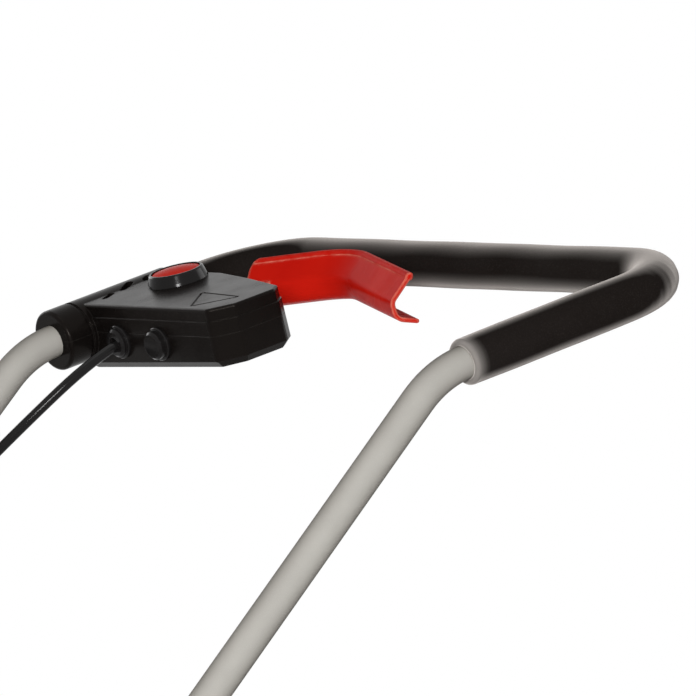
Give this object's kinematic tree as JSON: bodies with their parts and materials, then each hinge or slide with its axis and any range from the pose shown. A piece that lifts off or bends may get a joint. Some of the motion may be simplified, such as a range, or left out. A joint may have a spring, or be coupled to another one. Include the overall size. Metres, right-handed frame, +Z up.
{
  "type": "reel mower",
  "caption": "Battery reel mower: helical reel between side plates under a hood, two wheels, rear roller, and a folding tube handle with foam grip, switch box, lock button and trigger lever.",
  "frame": {"origin": "on the ground, under the middle of the whole mower's box", "axes": "+Z up, -Y the way the mower is pushed, +Y towards the operator, +X to the operator's left"},
  "size_m": [0.5334, 1.0678, 1.0126],
  "materials": {
    "upper_tube": "satin",
    "foam_grip": "matte foam",
    "upper_tube_caps": "matte",
    "upper_saddles": "matte",
    "switch_housing_top": "satin",
    "switch_housing_bottom": "satin",
    "housing_screws": "ground",
    "button_collar": "satin",
    "button_spring": "ground",
    "lever_pin": "ground",
    "lever_spring": "ground",
    "microswitch": "matte",
    "cable_gland": "satin",
    "blank_plug": "satin",
    "cable_upper": "glossy",
    "cable_clips_upper": "matte",
    "trigger_lever": "glossy",
    "lock_button": "glossy",
    "lower_tubes": "satin",
    "lower_tube_caps": "matte",
    "lower_saddles": "matte",
    "clamp_bolts": "ground",
    "cable_lower": "glossy",
    "cable_clips_lower": "matte",
    "deck_cable_gland": "matte",
    "handle_sockets": "matte",
    "deck_screws": "ground",
    "deck_hood": "glossy",
    "reel_shroud": "satin",
    "bedknife_bar": "satin",
    "bedknife_blade": "ground",
    "tie_bars": "satin",
    "motor_can": "satin",
    "motor_pulley": "ground",
    "drive_belt": "glossy",
    "reel_core": "satin",
    "reel_blades": "ground",
    "reel_pulley": "ground",
    "reel_bearings": "ground",
    "wheel_axles": "ground",
    "roller_carrier": "satin",
    "height_knob": "matte",
    "rear_roller": "matte",
    "battery_tray": "matte",
    "battery_pack": "matte",
    "battery_lid": "matte",
    "lid_pin": "ground",
    "controller_box": "matte",
    "clamp_knob_left": "matte",
    "side_plate_left": "satin",
    "side_cover_left": "matte",
    "wheel_left": "matte",
    "tyre_left": "matte",
    "hub_cap_left": "satin",
    "clamp_knob_right": "matte",
    "side_plate_right": "satin",
    "side_cover_right": "matte",
    "wheel_right": "matte",
    "tyre_right": "matte",
    "hub_cap_right": "satin"
  },
  "bodies": {
    "mower_frame": {"lower_tubes": "lower_tubes", "lower_tube_caps": "lower_tube_caps", "lower_saddles": "lower_saddles", "clamp_bolts": "clamp_bolts", "cable_lower": "cable_lower", "cable_clips_lower": "cable_clips_lower", "deck_cable_gland": "deck_cable_gland", "handle_sockets": "handle_sockets", "deck_screws": "deck_screws", "deck_hood": "deck_hood", "reel_shroud": "reel_shroud", "bedknife_bar": "bedknife_bar", "bedknife_blade": "bedknife_blade", "tie_bars": "tie_bars", "motor_can": "motor_can", "drive_belt": "drive_belt", "reel_bearings": "reel_bearings", "wheel_axles": "wheel_axles", "battery_tray": "battery_tray", "battery_pack": "battery_pack", "lid_pin": "lid_pin", "controller_box": "controller_box", "side_plate_left": "side_plate_left", "side_cover_left": "side_cover_left", "side_plate_right": "side_plate_right", "side_cover_right": "side_cover_right"},
    "upper_handle": {"upper_tube": "upper_tube", "foam_grip": "foam_grip", "upper_tube_caps": "upper_tube_caps", "upper_saddles": "upper_saddles", "switch_housing_top": "switch_housing_top", "switch_housing_bottom": "switch_housing_bottom", "housing_screws": "housing_screws", "button_collar": "button_collar", "button_spring": "button_spring", "lever_pin": "lever_pin", "lever_spring": "lever_spring", "microswitch": "microswitch", "cable_gland": "cable_gland", "blank_plug": "blank_plug", "cable_upper": "cable_upper", "cable_clips_upper": "cable_clips_upper"},
    "trigger": {"trigger_lever": "trigger_lever"},
    "button": {"lock_button": "lock_button"},
    "knob_left": {"clamp_knob_left": "clamp_knob_left"},
    "knob_right": {"clamp_knob_right": "clamp_knob_right"},
    "left_wheel": {"wheel_left": "wheel_left", "tyre_left": "tyre_left", "hub_cap_left": "hub_cap_left"},
    "right_wheel": {"wheel_right": "wheel_right", "tyre_right": "tyre_right", "hub_cap_right": "hub_cap_right"},
    "reel": {"reel_core": "reel_core", "reel_blades": "reel_blades", "reel_pulley": "reel_pulley"},
    "motor_rotor": {"motor_pulley": "motor_pulley"},
    "height_carrier": {"roller_carrier": "roller_carrier", "height_knob": "height_knob"},
    "roller": {"rear_roller": "rear_roller"},
    "lid": {"battery_lid": "battery_lid"}
  },
  "joints": [
    {"name": "handle_fold", "type": "hinge", "parent": "mower_frame", "child": "upper_handle", "pos_m": [0, 0.0132, 0.60141], "axis": [1, 0, 0], "range_deg": [0, 160], "deforming": ["cable_upper", "cable_lower"]},
    {"name": "knob_left_turn", "type": "hinge", "parent": "mower_frame", "child": "knob_left", "pos_m": [0.261, 0.0132, 0.60141], "axis": [1, 0, 0], "range_deg": [0, 540]},
    {"name": "knob_right_turn", "type": "hinge", "parent": "mower_frame", "child": "knob_right", "pos_m": [-0.261, 0.0132, 0.60141], "axis": [-1, 0, 0], "range_deg": [0, 540]},
    {"name": "trigger_pull", "type": "hinge", "parent": "upper_handle", "child": "trigger", "pos_m": [-0.153, 0.41668, 0.96748], "axis": [0, -0.2798, 0.96], "range_deg": [0, 10], "stiffness_Nm_per_rad": 4, "springref_deg": -8.59, "deforming": ["lever_spring"]},
    {"name": "button_press", "type": "slide", "parent": "upper_handle", "child": "button", "axis": [0, 0.2798, -0.96], "range_m": [0, 0.004], "stiffness_N_per_m": 700, "springref_m": -0.002, "deforming": ["button_spring"]},
    {"name": "wheel_left_spin", "type": "hinge", "parent": "mower_frame", "child": "left_wheel", "pos_m": [0.216, -0.40742, 0.105], "axis": [1, 0, 0], "continuous": true},
    {"name": "wheel_right_spin", "type": "hinge", "parent": "mower_frame", "child": "right_wheel", "pos_m": [-0.216, -0.40742, 0.105], "axis": [1, 0, 0], "continuous": true},
    {"name": "reel_spin", "type": "hinge", "parent": "mower_frame", "child": "reel", "pos_m": [0, -0.46242, 0.095], "axis": [1, 0, 0], "continuous": true},
    {"name": "motor_spin", "type": "hinge", "parent": "mower_frame", "child": "motor_rotor", "pos_m": [0.18, -0.39742, 0.189], "axis": [1, 0, 0], "continuous": true},
    {"name": "height_adjust", "type": "hinge", "parent": "mower_frame", "child": "height_carrier", "pos_m": [0, -0.36042, 0.078], "axis": [1, 0, 0], "range_deg": [-10, 10]},
    {"name": "roller_spin", "type": "hinge", "parent": "height_carrier", "child": "roller", "pos_m": [0, -0.28242, 0.0225], "axis": [1, 0, 0], "continuous": true},
    {"name": "lid_open", "type": "hinge", "parent": "mower_frame", "child": "lid", "pos_m": [0, -0.35542, 0.2363], "axis": [-1, 0, 0], "range_deg": [0, 100]}
  ],
  "couplings": [
    {"joint": "motor_spin", "follows": "reel_spin", "ratio": 2.7391}
  ]
}
